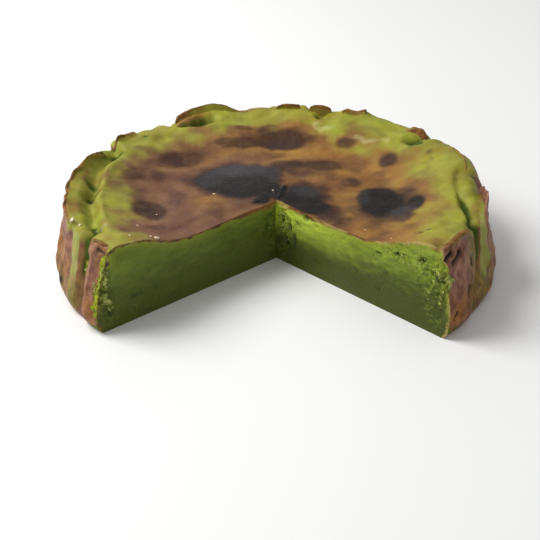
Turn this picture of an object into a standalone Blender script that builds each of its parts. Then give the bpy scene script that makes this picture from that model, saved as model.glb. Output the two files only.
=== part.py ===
# A round cheesecake baked in folded paper, with a quarter of it cut out, as one solid.
# The cut opens towards -Y. The base lies on the ground, and the middle of its box is the origin.

import math

import bmesh
import bpy
import numpy as np

# Driving dimensions, in metres and degrees. Azimuths turn anticlockwise from +X.
RADIUS = 0.0972  # the wall at its widest, near the foot
RIM_HEIGHT = 0.0371  # crest of the rim over the base
MIDDLE_HEIGHT = 0.0292  # the sunken middle
AXIS = (-0.0017, -0.0143)  # the tin's axis, which puts the middle of the box at the origin

DISH_RADIUS = 0.50 * RADIUS  # where the top begins to rise to the rim
CREST_RADIUS = 0.885 * RADIUS
WALL_LEAN = 0.0036  # how far the wall stands out on its way down
SHOULDER_DROP = 0.0070
FOOT_INSET, FOOT_HEIGHT = 0.0048, 0.0075

CUT_FROM, CUT_TO = 223.5, 314.7  # the knife's two strokes
CUT_APEX = (0.0009, -0.0006)  # where the strokes meet, from the axis

TURN_STEPS = 240
TOP_ROWS = (0, 0.17, 0.34, 0.5, 0.62, 0.71, 0.785, 0.845, 0.895, 0.94, 0.975, 1.0)
SHOULDER_ROWS, WALL_ROWS, FOOT_ROWS = 6, 6, 4

# Where the folded paper marked the skin. Each mark is its rise (below 0 it is a crease), its half
# width, and its path as azimuths and distances past the rim's corner, which grow down the wall.
MARKS = (
    # the long loose flap on the left, with the crease that frees it
    (-0.0060, 0.0032, ((149, 0.014), (151, -0.001), (157, -0.013), (170, -0.015), (190, -0.013),
                       (206, -0.010), (212, -0.004), (213, 0.008), (213, 0.036))),
    (0.0016, 0.0036, ((158, -0.004), (175, -0.004), (192, -0.004), (205, -0.002))),
    (0.0008, 0.0040, ((203, 0.006), (201, 0.028))),
    # the corner panel beside the left stroke
    (0.0012, 0.0040, ((219, 0.002), (218, 0.030))),
    # the flap behind the long one, and the next one round
    (0.0018, 0.0034, ((141, -0.002), (147, -0.001))),
    (-0.0044, 0.0032, ((125, 0.012), (123, -0.006), (120, -0.015), (112, -0.013))),
    (0.0046, 0.0038, ((106, -0.003), (109, -0.003), (118, -0.001))),
    # small curled edges at the back
    (0.0026, 0.0028, ((80, 0.000), (90, 0.001))),
    (-0.0026, 0.0030, ((76, 0.016), (74, 0.001), (73, -0.007))),
    (0.0028, 0.0026, ((59, 0.001), (62, 0.000))),
    (0.0028, 0.0026, ((67, 0.001), (68, 0.000))),
    (-0.0034, 0.0030, ((35, 0.018), (35, -0.004), (36, -0.015))),
    (0.0022, 0.0034, ((38, -0.001), (43, 0.001))),
    # the tall flap on the right, with the crease that frees it
    (-0.0060, 0.0032, ((-3, -0.013), (-12, -0.013), (-19, -0.008), (-24, -0.002), (-26, 0.008),
                       (-27, 0.030))),
    (0.0032, 0.0036, ((-6, -0.001), (-15, 0.001), (-22, 0.001))),
    # the panel beside the right stroke
    (0.0016, 0.0036, ((-36, 0.000), (-38, 0.028))),
)

# Upright creases of the paper all round the wall: azimuth, lean from top to foot, depth.
# The side that the crease leans to stands over the other.
WALL_CREASES = (
    (6, 3, 0.0020), (19, -4, 0.0024), (50, 2, 0.0022), (62, -3, 0.0016), (88, 4, 0.0026),
    (103, -2, 0.0018), (139, 3, 0.0024), (171, -3, 0.0018), (186, 2, 0.0022), (201, -3, 0.0020),
)
CREASE_HALF_WIDTH = 0.0030
PANEL_STEP = 0.0013
PANEL_FADE = 9.0  # degrees over which the step from panel to panel dies away

# Slow unevenness, as waves round the cake: height, waves in a turn, start in radians
RIM_WAVES = ((0.0013, 1, math.pi), (0.0006, 1, math.pi / 2), (0.0005, 5, 0.6))
WALL_WAVES = ((0.0009, 1, math.pi / 2), (0.0007, 3, 0.4), (0.0005, 7, 2.0))
BLISTER_HEIGHT, BLISTER_SPAN = 0.0005, (0.011, 0.013)  # of the low swellings over the top


def smooth(t):
    """0 to 1 with level ends."""
    t = np.clip(t, 0, 1)
    return t * t * (3 - 2 * t)


def bell(distance, half_width):
    return np.exp(-(distance / half_width) ** 2)


def turn(azimuth, centre):
    """Degrees from centre, between -180 and 180."""
    return (azimuth - centre + 180) % 360 - 180


def waves(azimuth, terms):
    return sum(height * np.sin(count * np.radians(azimuth) + start) for height, count, start in terms)


def skin_profile():
    """Radius and height of each row, from the axis over the rim and down the wall to the axis."""
    top = np.array(TOP_ROWS) * CREST_RADIUS
    rise = smooth((top - DISH_RADIUS) / (CREST_RADIUS - DISH_RADIUS))
    rows = [np.stack([top, MIDDLE_HEIGHT + (RIM_HEIGHT - MIDDLE_HEIGHT) * rise], axis=1)]

    wall_top = RADIUS - WALL_LEAN, RIM_HEIGHT - SHOULDER_DROP
    bend = np.linspace(0, math.pi / 2, SHOULDER_ROWS + 1)[1:]
    rows.append(np.stack([CREST_RADIUS + (wall_top[0] - CREST_RADIUS) * np.sin(bend),
                          RIM_HEIGHT - SHOULDER_DROP * (1 - np.cos(bend))], axis=1))

    down = np.linspace(0, 1, WALL_ROWS + 1)[1:]
    rows.append(np.stack([wall_top[0] + WALL_LEAN * np.sin(down * math.pi / 2),
                          wall_top[1] + (FOOT_HEIGHT - wall_top[1]) * down], axis=1))

    bend = np.linspace(0, math.pi / 2, FOOT_ROWS + 1)[1:]
    rows.append(np.stack([RADIUS - FOOT_INSET * (1 - np.cos(bend)),
                          FOOT_HEIGHT * (1 - np.sin(bend))], axis=1))
    rows.append(np.zeros((1, 2)))
    return np.concatenate(rows)


def turned_body(profile):
    """The profile as a line of edges, turned about Z by a Screw, as a plain mesh."""
    line = bpy.data.meshes.new("skin_profile")
    points = [(radius, 0, height) for radius, height in profile]
    line.from_pydata(points, [(i, i + 1) for i in range(len(points) - 1)], [])
    guide = bpy.data.objects.new("skin_profile", line)
    bpy.context.scene.collection.objects.link(guide)
    screw = guide.modifiers.new("turn", "SCREW")
    screw.steps = screw.render_steps = TURN_STEPS
    screw.use_merge_vertices = True
    screw.merge_threshold = 0.0001
    graph = bpy.context.evaluated_depsgraph_get()
    body = bpy.data.meshes.new_from_object(guide.evaluated_get(graph))
    bpy.data.objects.remove(guide)
    return body


def path_distance(azimuth, along, radius, path):
    """Metres over the skin from each point to a mark's path."""
    nearest = np.full(len(azimuth), np.inf)
    for (azimuth_a, along_a), (azimuth_b, along_b) in zip(path, path[1:]):
        x = np.radians(turn(azimuth, azimuth_a)) * radius
        y = along - along_a
        step_x = np.radians(turn(azimuth_b, azimuth_a)) * radius
        step_y = along_b - along_a
        part = np.clip((x * step_x + y * step_y) / np.maximum(step_x ** 2 + step_y ** 2, 1e-12), 0, 1)
        nearest = np.minimum(nearest, np.hypot(x - part * step_x, y - part * step_y))
    return nearest


def panel_offset(azimuth, down):
    """The wall's paper panels: a crease between each two, and one panel standing over the next."""
    offset = np.zeros(len(azimuth))
    width = math.degrees(CREASE_HALF_WIDTH / RADIUS)
    for centre, lean, depth in WALL_CREASES:
        apart = turn(azimuth, centre + lean * down)
        over = np.sign(lean) * np.tanh(apart / width) * np.exp(-np.abs(apart) / PANEL_FADE)
        offset += PANEL_STEP * over - depth * bell(apart, width)
    return offset


def place_on_profile(radius, height, profile):
    """For each point: how far it lies past the rim's corner, that as a share of the way to the
    foot, and the profile's outward normal there."""
    step = np.gradient(profile, axis=0)
    step /= np.linalg.norm(step, axis=1, keepdims=True)
    length = np.concatenate([[0], np.cumsum(np.linalg.norm(np.diff(profile, axis=0), axis=1))])
    length -= length[len(TOP_ROWS) + SHOULDER_ROWS // 2 - 1]
    row = np.hypot(radius[:, None] - profile[:, 0], height[:, None] - profile[:, 1]).argmin(axis=1)
    down = np.clip(length[row] / length[-2], 0, 1)
    return length[row], down, -step[row, 1], step[row, 0]


def shape_skin(mesh, profile):
    """Makes the turned skin uneven and pushes panels and marks out along its normal."""
    points = np.empty(len(mesh.vertices) * 3)
    mesh.vertices.foreach_get("co", points)
    points = points.reshape(-1, 3)
    x, y, height = points.T
    radius = np.hypot(x, y)
    azimuth = np.degrees(np.arctan2(y, x))
    along, down, out, up = place_on_profile(radius, height, profile)
    raised = np.clip(height / FOOT_HEIGHT, 0, 1)  # 0 on the base, which stays flat

    wall = smooth((along + 0.012) / 0.016) * (1 - smooth((down - 0.8) / 0.3))
    push = wall * panel_offset(azimuth, down)
    for rise, half_width, path in MARKS:
        push += rise * bell(path_distance(azimuth, along, radius, path), half_width)
    push *= raised

    rim = smooth((radius / RADIUS - 0.4) / 0.5) * smooth(height / RIM_HEIGHT)
    lift = rim * waves(azimuth, RIM_WAVES)
    blister = BLISTER_HEIGHT * np.sin(x / BLISTER_SPAN[0] + 1) * np.sin(y / BLISTER_SPAN[1])
    lift += np.where(along < 0, blister, 0)
    swell = smooth(radius / RADIUS) * waves(azimuth, WALL_WAVES)

    grow = 1 + (swell + push * out) / np.maximum(radius, 1e-6) * (radius > 1e-6)
    shaped = np.stack([x * grow, y * grow, height + np.where(raised > 0, lift + push * up, 0)], axis=1)
    mesh.vertices.foreach_set("co", shaped.ravel())
    mesh.update()


def wedge_cutter():
    """An upright wedge between the two strokes, taller than the cake on both sides."""
    reach, height = 2 * RADIUS, 2 * RIM_HEIGHT
    shape = bmesh.new()
    corners = [shape.verts.new((*CUT_APEX, -height))]
    for azimuth in (CUT_FROM, CUT_TO):
        angle = math.radians(azimuth)
        corners.append(shape.verts.new((CUT_APEX[0] + reach * math.cos(angle),
                                        CUT_APEX[1] + reach * math.sin(angle), -height)))
    grown = bmesh.ops.extrude_face_region(shape, geom=[shape.faces.new(corners)])
    top = [item for item in grown["geom"] if isinstance(item, bmesh.types.BMVert)]
    bmesh.ops.translate(shape, verts=top, vec=(0, 0, 2 * height))
    bmesh.ops.recalc_face_normals(shape, faces=shape.faces)
    mesh = bpy.data.meshes.new("wedge")
    shape.to_mesh(mesh)
    shape.free()
    cutter = bpy.data.objects.new("wedge", mesh)
    cutter.hide_render = True
    cutter.display_type = "WIRE"
    return cutter


def plain_material(name, color, roughness):
    material = bpy.data.materials.new(name)
    material.use_nodes = True
    shader = material.node_tree.nodes["Principled BSDF"]
    shader.inputs["Base Color"].default_value = (*color, 1)
    shader.inputs["Roughness"].default_value = roughness
    shader.inputs["Metallic"].default_value = 0
    return material


def make_cheesecake():
    """The shaped skin, with the wedge cut out of it by a Boolean that brings the curd's material."""
    profile = skin_profile()
    body = turned_body(profile)
    shape_skin(body, profile)
    body.name = "cheesecake"
    body.materials.clear()
    body.materials.append(plain_material("baked_skin", (0.23, 0.20, 0.04), 0.45))
    body.shade_smooth()
    body.set_sharp_from_angle(angle=math.radians(50))
    cake = bpy.data.objects.new("cheesecake", body)

    cutter = wedge_cutter()
    cutter.data.materials.append(plain_material("matcha_curd", (0.26, 0.42, 0.07), 0.6))
    cut = cake.modifiers.new("slices_taken", "BOOLEAN")
    cut.operation = "DIFFERENCE"
    cut.solver = "EXACT"
    cut.material_mode = "TRANSFER"
    cut.object = cutter
    return cake, cutter


def main():
    for old in list(bpy.data.objects):
        bpy.data.objects.remove(old)
    cake, cutter = make_cheesecake()
    for name, item in (("matcha_basque_cheesecake", cake), ("cutters", cutter)):
        collection = bpy.data.collections.new(name)
        bpy.context.scene.collection.children.link(collection)
        collection.objects.link(item)
        item.location = (*AXIS, 0)


main()
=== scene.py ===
import math

import bpy
import numpy as np
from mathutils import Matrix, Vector


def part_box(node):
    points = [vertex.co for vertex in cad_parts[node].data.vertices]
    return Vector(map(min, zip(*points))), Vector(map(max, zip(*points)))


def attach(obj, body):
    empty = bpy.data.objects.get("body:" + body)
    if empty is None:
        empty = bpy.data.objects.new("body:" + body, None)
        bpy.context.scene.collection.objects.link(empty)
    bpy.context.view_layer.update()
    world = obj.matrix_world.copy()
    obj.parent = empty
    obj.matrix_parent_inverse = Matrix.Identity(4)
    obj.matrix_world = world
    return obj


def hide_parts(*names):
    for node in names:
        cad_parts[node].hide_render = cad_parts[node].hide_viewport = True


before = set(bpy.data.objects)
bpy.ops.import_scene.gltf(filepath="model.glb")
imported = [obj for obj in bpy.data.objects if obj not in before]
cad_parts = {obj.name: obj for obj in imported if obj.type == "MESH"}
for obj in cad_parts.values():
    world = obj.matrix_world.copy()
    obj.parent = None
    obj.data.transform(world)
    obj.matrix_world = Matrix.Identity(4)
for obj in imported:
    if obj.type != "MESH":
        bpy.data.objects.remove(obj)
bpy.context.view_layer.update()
cakeLow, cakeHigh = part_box("cheesecake")
perMetre = 1000  # millimetres
print("frame loaded, cake", [round(side * perMetre) for side in cakeHigh - cakeLow], "mm")

# The cake's own measures, in millimetres and degrees, as everywhere here until makePiece. Azimuths turn
# anticlockwise from +X about the tin's axis.
cakeShape = {
    "radius": 97.2,  # the wall at its widest, near the foot
    "rimHeight": 37.1,
    "middleHeight": 29.2,
    "axis": (-1.7, -14.3),  # from the middle of the frame's box
    "dishShare": 0.5,  # of the radius, where the top begins to rise
    "crestShare": 0.885,
    "wallLean": 3.6,
    "shoulderDrop": 7.0,
    "footInset": 3.4,
    "footHeight": 6.4,
    "cutFrom": -45.3,  # the knife's stroke on the right
    "cutTo": 223.5,  # and on the left
    "apex": (0.9, -0.6),  # where the strokes meet, from the axis
}
axisX = (cakeLow.x + cakeHigh.x) / 2 * perMetre + cakeShape["axis"][0]
axisY = (cakeLow.y + cakeHigh.y) / 2 * perMetre + cakeShape["axis"][1]
floorZ = cakeLow.z * perMetre

# Grooves that the folded paper left: depth, half width towards the cake's middle and outward. Then the dark
# strip's strength, place, half width and slide further down the wall, its dark green partly painted shade,
# and where the pale strip beyond it begins and ends, all measured outward. The path has azimuths and
# distances past the rim's corner, which grow down the wall.
paperGrooves = {
    "leftTrough": (4.6, 1.8, 6, (0.42, 3.5, 4.2, 0), (1, 2), ((147, 12), (149.5, -4), (153, -10.5),
        (160, -12), (167, -11.2), (174, -11.6), (182, -12), (190, -11.2), (200, -10.8), (207, -9))),
    "leftSplit": (4.2, 1.6, 5, (1.2, 1.4, 2.2, 1), (5.6, 11.4), ((207, -9), (212.6, -6.8), (211.6, -1.6),
        (213.8, 7), (214.2, 36))),
    "backSplit": (3.8, 1.8, 3, (0.8, 0.4, 2, 0), (2, 4.4), ((127, 12), (125.5, -6), (120, -12),
        (112, -11.8))),
    "backNick": (1.8, 2, 2.2, (0.6, 0.2, 1.6, 0), (1.8, 3.4), ((76, 16), (74, 1), (74, -9))),
    "rightNick": (3, 1.8, 2.8, (0.9, 0.2, 1.8, 0), (1.8, 4), ((34, 18), (34, -4), (37, -13))),
    "rightTrough": (1.8, 2, 4, (0.2, 0.4, 1.8, 0), (1, 2), ((6, -8.5), (-2, -9), (-9, -9.2))),
    "rightSplit": (4.6, 1.5, 6, (1.05, 1.2, 1.8, 3.2), (6, 10.8), ((-9, -9.2), (-12.5, -8.6), (-16.5, -6.8),
        (-21, -4), (-24.6, -0.6), (-25.4, 9.5), (-27.6, 15), (-30.5, 22.5), (-32.5, 34))),
}

# Ridges between them: rise, half width, path
paperRidges = [
    (2.2, 1.4, ((157, -6), (165, -3.4), (179, -0.4), (194, 0.2), (202, 0))),
    (0.8, 4, ((203, 6), (201, 28))), (1.2, 2.6, ((218.4, 0), (218, 30))),
    (0.9, 2.2, ((161, -16), (180, -15), (194, -13.8), (207, -12.5))),
    (1.6, 1.3, ((140, -4), (146, -5), (151, -5))), (1, 2.6, ((106, -6), (112, -6), (117, -6))),
    (1.4, 1.8, ((80, -3), (90, -3))), (1.4, 1.8, ((59, -3), (67, -3))), (1.6, 1.8, ((36, -4), (42, -3))),
    (1.6, 1.4, ((-3, 3), (-9, 2.2), (-14, 1.8), (-18, 4), (-19.5, 9), (-20.5, 20))),
    (1.6, 1.3, ((-29, -1), (-36, -1.2), (-42, -0.8))), (1.2, 3.4, ((-36, 6), (-39, 28))),
]

# Small hollows in the grooves, painted dark green as shade in them: azimuth, distance past the rim's
# corner, half width, depth
grooveHollows = [
    (119, -10.4, 3, 1.4), (122, -8.4, 2, 1.3), (115.5, -9.6, 2.2, 1), (154, -11.2, 2.4, 1.2),
    (176.5, -10.2, 2.6, 1.2), (185, -10.4, 3.2, 1.2), (209.5, -7.6, 2, 1.2), (117.5, -11.6, 2.8, 1.6),
    (74.5, -11.2, 1.8, 1), (35, -13.4, 3.4, 2), (33, -11.6, 1.6, 0.8), (-14.5, -8, 1.8, 1),
    (-24.5, -1.8, 2.4, 1.2), (139, -10, 1.4, 0.6),
]

# Slits where the skin split, dug in and painted near black as shade in them: half width, depth, path
skinSlits = [
    (1.1, 1.8, ((-42.9, 3), (-41.4, 1.6), (-39.8, 0.6))),
    (1.1, 1.8, ((-40.2, 5.6), (-38.4, 4), (-36.4, 2.2))), (0.7, 0.8, ((-33.2, 20), (-33.6, 24))),
    (0.6, 0.8, ((-41, 25.5), (-42.2, 28.5))), (0.6, 0.6, ((-31.5, 9), (-32, 11.5))),
    (0.6, 0.6, ((221, 1.2), (219, 0.6))),
]

# Upright creases round the wall: azimuth, lean from top to foot, depth
wallCreases = [
    (6, 3, 2), (19, -4, 2.4), (50, 2, 2.2), (62, -3, 1.6), (88, 4, 2.6), (103, -2, 1.8), (139, 3, 2.4),
    (171, -3, 1.8), (187, 2, 1.4),
]
wallFolds = {"halfWidth": 1.9, "panelStep": 1.3, "panelFade": 9, "wrinkles": 0.3}

# The knife wavered: distance past the rim's corner, and degrees that the cut is turned there, on the right
# (1) and on the left (-1)
cutLean = {1: ((-60, 0), (-30, 0.4), (-12, 1.2), (-2, 2.1), (12, 2.4), (20, 1.3), (36, 0.7)),
           -1: ((-40, 0), (-12, -0.5), (-2, -1.2), (3, -1.9), (24, -2.3), (36, -1.8))}

# Slow unevenness round the cake: height, waves in a turn, start in radians
rimWaves = [(1.3, 1, math.pi), (0.6, 1, math.pi / 2), (0.5, 5, 0.6)]
wallWaves = [(0.9, 1, math.pi / 2), (0.7, 3, 0.4), (0.5, 7, 2.0)]

# How far the rim and the foot stand in or out of the round wall, and the rim up or down: azimuth, amount
rimLeans = ((-46, 0), (-36, 0), (-26, -0.6), (-18, -1.4), (-10, -3), (-3, -4.8), (5, -4.6), (12, -2.2),
    (20, -0.4), (36, 0), (176, 0), (190, -0.4), (206, -0.4), (216, 0), (224, 0))
footLeans = ((-46, 1), (-34, 1.4), (-20, 1), (0, 0), (180, 0), (200, 0.8), (212, 1.8), (224, 1.4))
rimLifts = ((-46, 0), (0, 0), (8, 0.6), (16, 1), (36, 1), (46, 0.4), (54, 0.8), (66, 0.8), (70, 0),
    (80, 0.6), (86, 0), (92, -0.6), (99, -1), (104, 0), (110, 0.8), (114, 0.8), (122, 0), (142, -0.4),
    (150, 0.6), (155, -0.4), (168, 1), (176, 1.4), (184, 0.6), (196, 0), (224, 0))

# Finer unevenness: its strength, which is a height where it moves the surface, the length of its waves, the
# seed and the octaves of its noise
unevenness = {
    "uneven": (1, 7, 27, 2), "sideDrift": (0.5, 17, 3, 2), "downDrift": (0.5, 17, 4, 2),
    "rimLumps": (0.35, 14, 5, 2), "wallWrinkles": (1, 7, 6, 3), "skinGrain": (0.05, 3.5, 7, 3),
    "swells": (0.3, 30, 8, 3), "fray": (0.14, 24, 21, 2), "fineFray": (0.04, 8, 28, 2),
    "toastEdge": (0.05, 20, 22, 2), "panelEdge": (1.4, 8, 23, 3), "ochreDrift": (0.25, 30, 26, 2),
    "tornEdge": (0.35, 5, 24, 3), "tornRelief": (0.45, 3, 25, 2), "scabRelief": (0.4, 3.4, 29, 2),
    "cutWaver": (0.3, 22, 11, 2), "cutDrag": (0.12, 3.5, 17, 2), "tearEdge": (0.35, 3, 45, 2),
    "crumble": (0.45, 4.5, 61, 1), "fineCrumble": (0.4, 3, 62, 2), "flapEdge": (1, 12, 41, 2),
    "flapWaver": (0.3, 10, 42, 2), "crumbLumps": (0.42, 10, 51, 2),
}

# How finely the skin is divided: columns round the cake, and rows over each stretch of the profile. The
# first two stretches end at these shares of the radius.
bodyMesh = {"columns": 600, "heart": 12, "middle": 22, "top": 54, "shoulder": 16, "wall": 28, "foot": 10,
            "cutDepth": 60, "heartEdge": 0.17, "middleEdge": 0.46}

# Where the oven marked the top, the burnt scabs glossy, and a grey sheen painted on the scorch as its
# reflection: place right and back of the axis and half lengths, in hundredths of the radius, turn in degrees,
# softness and strength
ovenPatches = {
    "char": [(-44, 40, 13, 7, 32, 0.9, 0.85), (-65, 19, 5, 8, -30, 1, 0.7), (-55, 22, 4.5, 5, -20, 1, 0.65),
        (-57, -12, 7, 9, 10, 0.7, 0.95), (-42, 2, 10, 5, -20, 1, 0.35),
        (8.5, 35.5, 10, 7.8, -14, 0.9, 0.92), (35, 56, 5.5, 4.5, 0, 0.9, 0.75),
        (53, 36, 4.5, 6, -20, 0.9, 0.85), (35, 18, 5, 5, 0, 0.9, 0.7), (0, 62.5, 16, 8.5, 2, 0.7, 0.95),
        (-23, 59, 8, 2.8, 8, 0.9, 0.75), (-15, 71.5, 6, 2.2, 0, 1, 0.45), (-12, 60, 12, 5, 14, 0.8, 0.9),
        (-4, 70, 7, 4, 30, 0.9, 0.7), (14, 5, 13, 12, -25, 0.8, 0.9), (23, -13, 8, 11, 30, 0.8, 0.85),
        (-25, -15, 14, 6, 40, 1, 0.3), (50, -7, 15, 19, 12, 0.6, 0.75), (-17, 19, 24, 21, -10, 0.7, 0.65),
        (-10, 43, 9, 4, 0, 1, 0.3), (21, 35, 11.5, 6.6, -4, 0.9, 0.9), (46, -33, 6, 3.5, -45, 0.9, 0.4),
        (13, 28.5, 8.5, 5.5, -20, 1, 0.85), (30.5, 36, 5.5, 2.4, -18, 1, 0.55),
        (36, -27, 16, 6, -42, 1.2, 0.3), (20, 52, 10, 2.2, -8, 1.1, 0.3), (0, 50, 16, 2.8, 0, 1.1, 0.35),
        (-20, 47, 12, 3, 12, 1.1, 0.35), (43, 28, 10, 4.5, -30, 1.1, 0.35),
        (-36, -4, 14, 4, -12, 1.1, 0.35), (-45, -17, 12, 4, 24, 1.1, 0.35), (32, 4, 5, 10, 0, 1.1, 0.35),
        (27, -17, 5, 8, 40, 0.9, 0.7), (65.5, -42.2, 1.2, 0.8, 0, 0.6, 0.8),
        (72.8, 33.9, 1.8, 2.6, -20, 1.2, 0.45), (73.1, 27, 1.6, 2.2, 0, 1.2, 0.4),
        (37, -12, 5, 10, 24, 1.1, 0.35), (52, -28, 9, 4.5, -40, 1.1, 0.4), (26, 22, 9, 5, 20, 1.1, 0.35),
        (-62, 2, 4, 10, 0, 1.1, 0.3), (62, -44, 1.4, 0.6, 30, 0.6, 0.7), (-52, -30, 5, 3, 40, 1, 0.5),
        (2, 46, 5, 3, 0, 1, 0.4), (-30, -17, 20, 2.5, 40, 1.2, 0.4), (38, -36, 14, 2, -44, 1.2, 0.35)],
    "scorch": [(-16.5, 19.8, 19, 17.2, -8, 0.48, 1), (-6, 9, 10, 10, -35, 0.6, 1),
        (0, 6, 4.5, 5, 0, 0.6, 1), (13, 5, 8.5, 8, -20, 0.7, 1), (19, -6, 5.5, 9, 35, 0.7, 0.9),
        (25, -15, 2.5, 4, 40, 0.9, 0.4), (47, -5, 10.8, 16.6, 10, 0.45, 1), (54, -13, 6, 7, 20, 0.7, 0.8),
        (62.2, -7.8, 4.6, 5.8, 0, 0.65, 0.95), (56, -22, 4, 6, -10, 0.9, 0.45),
        (3, 58, 9, 4.5, 0, 0.9, 0.45), (-57, -12, 4.5, 5.5, 0, 0.9, 0.45), (10, 36, 6, 3, -12, 1, 0.5),
        (-44, 39, 6, 3, 25, 1, 0.3), (12, -6.5, 12, 5, -42, 0.55, 1), (4, 1, 6, 4, 0, 0.6, 0.95)],
    "ash": [(-17, 32, 20, 8, -4, 1.6, 1), (-30, 20, 6, 7, 0, 1, 0.6), (0, 25, 5, 8, 0, 1, 0.6),
        (57, -16, 7, 8, 20, 1, 0.9), (5, 60, 9, 3, 0, 1, 0.8), (16, 8, 7, 6, 0, 1, 0.7),
        (40, 2, 3, 8, 0, 1, 0.5), (-44, 37, 8, 3, 25, 1, 0.6), (18, 37, 7, 3, -8, 1, 0.7),
        (-8, 55.5, 10, 2.5, 5, 1, 0.6)],
    "scab": [(-5.8, -0.6, 7, 4.4, 48, 0.5, 1), (3.4, 7, 7, 2.2, 72, 0.6, 1),
        (-0.4, 6, 2.2, 1.4, 40, 0.6, 0.8)],
    "toast": [(-12, 66, 14, 9, 0, 1, 1), (-28, 60, 10, 5, 10, 1, 0.9), (10, 70, 12, 6, 0, 1, 0.9),
        (36, 57, 9, 6, 0, 1, 0.9), (-64, 28, 9, 12, -20, 1, 0.7), (62, 30, 8, 10, 0, 1, 0.6)],
}
patchFray = {"char": 1, "scorch": 0.7, "ash": 1, "scab": 0.8, "toast": 1}
toastReach = ((-46, 0.8), (-30, 0.78), (-18, 0.73), (0, 0.72), (20, 0.7), (40, 0.7), (60, 0.72),
    (90, 0.725), (110, 0.72), (130, 0.75), (150, 0.75), (165, 0.75), (180, 0.73), (200, 0.725), (213, 0.77),
    (224, 0.8))

# Marks on the wall and the rim, the moist ones shining with butter and painted pale as a highlight, and the
# torn ones made by the knife: azimuth, distance past the rim's corner, half width, half height, strength
wallBurns = [(200, 26.2, 3.6, 3.6, 1), (48, 28, 4, 2.5, 1), (118, 29, 3.5, 2, 1)]
moistStreaks = [
    (74, -17.8, 1.7, 3, 1), (69.6, -20.4, 2.4, 2.4, 1), (55, -23.8, 3.4, 1.6, 1),
    (48.5, -22.2, 2.4, 1.4, 1), (43.5, -19.8, 2, 1.6, 1), (209.4, -9.5, 2.2, 1.8, 1),
    (201.5, -0.8, 1.3, 1.3, 1),
]
tornEdges = [
    (222.2, 6, 1.8, 7, 1), (222.4, 15, 3, 5, 1), (222.2, 24, 4, 5, 1), (221, 36, 7, 3, 1),
    (-43, 11, 1.2, 3, 1), (-44.5, 33, 5, 2.6, 1), (212.8, 15, 1.4, 5, 1),
]
brownedBanks = [
    (119, -6.2, 10, 3.4, 1), (99, -4.2, 15, 1.4, 0.7), (86, -4, 10, 1.6, 0.6), (170, -5.5, 10, 1.6, 0.5),
    (194, -3.5, 7, 3, 0.6), (208, -11.5, 5, 1.4, 0.5), (143, -4.2, 9, 1.6, 0.5), (45, -4, 12, 1.4, 0.4),
    (20, -6, 9, 2, 0.4), (219, -10, 6, 6, 0.35), (-40, -6, 6, 4, 0.5), (-12, -3, 4, 2, 0.5),
    (76, -14, 6, 3, 0.4),
]
skinTints = {
    "plum": [(-37.5, 9, 8, 11, 0.9), (-33, 2, 3, 3, 0.6), (204, 4, 7, 7, 0.8), (218, 5, 3.5, 8, 0.7),
        (217, 17, 3, 5, 0.5), (-12, 6, 6, 8, 0.7), (150, 10, 20, 8, 0.6), (60, 12, 30, 8, 0.6),
        (100, 10, 18, 7, 0.5)],
    "rust": [(-39, 26, 8, 6, 1), (-43, 18, 1.6, 10, 0.6), (196, 18, 12, 8, 0.7), (219, 27, 4.5, 6, 0.9),
        (222, 12, 1, 9, 0.8), (-8, 20, 12, 7, 0.7), (216, -1, 1.6, 1.6, 0.6), (130, 20, 20, 6, 0.6),
        (30, 16, 20, 6, 0.7), (80, 22, 20, 6, 0.6), (170, 14, 10, 6, 0.6)],
    "moss": [(-29.4, 11, 3.6, 13, 1), (-31, 25, 5, 7, 1), (-24.5, 27, 6, 7, 1), (209.5, 29, 5, 6, 0.9),
        (200, 25, 8, 6, 0.8), (224, 1, 4, 1.6, 0.8), (-17, 24, 6, 8, 0.6), (90, 5, 20, 3, 0.6),
        (140, 26, 16, 5, 0.6)],
}
skinMasks = ("groove", "flank", "crest", "char", "scorch", "ash", "scab", "toast", "ochre", "panel", "moist",
             "torn", *skinTints)


def smooth(t):  # 0 to 1 with level ends: 3t^2 - 2t^3
    t = np.clip(t, 0, 1)
    return t * t * (3 - 2 * t)


def bell(distance, halfWidth):  # 1 at 0, falling as exp(-d^2)
    return np.exp(-(distance / halfWidth) ** 2)


def between(value, steps):  # straight from step to step of a table of places and amounts
    return np.interp(value, *zip(*steps))


def evenly(share, amounts):  # the same between amounts at even steps from 0 to 1
    return np.interp(share, np.linspace(0, 1, len(amounts)), amounts)


def turnFrom(azimuth, centre):  # degrees from centre, between -180 and 180
    return (azimuth - centre + 180) % 360 - 180


def compass(azimuth):  # level unit vectors
    return np.stack([np.cos(np.radians(azimuth)), np.sin(np.radians(azimuth))], axis=-1)


def wavesRound(azimuth, terms):
    return sum(height * np.sin(count * np.radians(azimuth) + start) for height, count, start in terms)


def softNoise(kind, points, shift=0):
    # A sum of plane waves of random direction, each octave half as long and half as strong, from about -1
    # to 1 times the strength
    strength, size, seed, octaves = unevenness[kind]
    draw = np.random.default_rng(seed + shift)
    total = np.zeros(points.shape[:-1])
    for octave in range(octaves):
        directions = draw.normal(size=(10, 3))
        directions /= np.linalg.norm(directions, axis=1, keepdims=True)
        lengths = size / 2 ** octave * draw.uniform(0.8, 1.5, 10)
        starts = draw.uniform(0, 2 * math.pi, 10)
        phase = points @ (directions / lengths[:, None]).T * 2 * math.pi + starts
        total += np.sin(phase).sum(axis=-1) * 0.3 / 2 ** octave
    return strength * total


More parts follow.
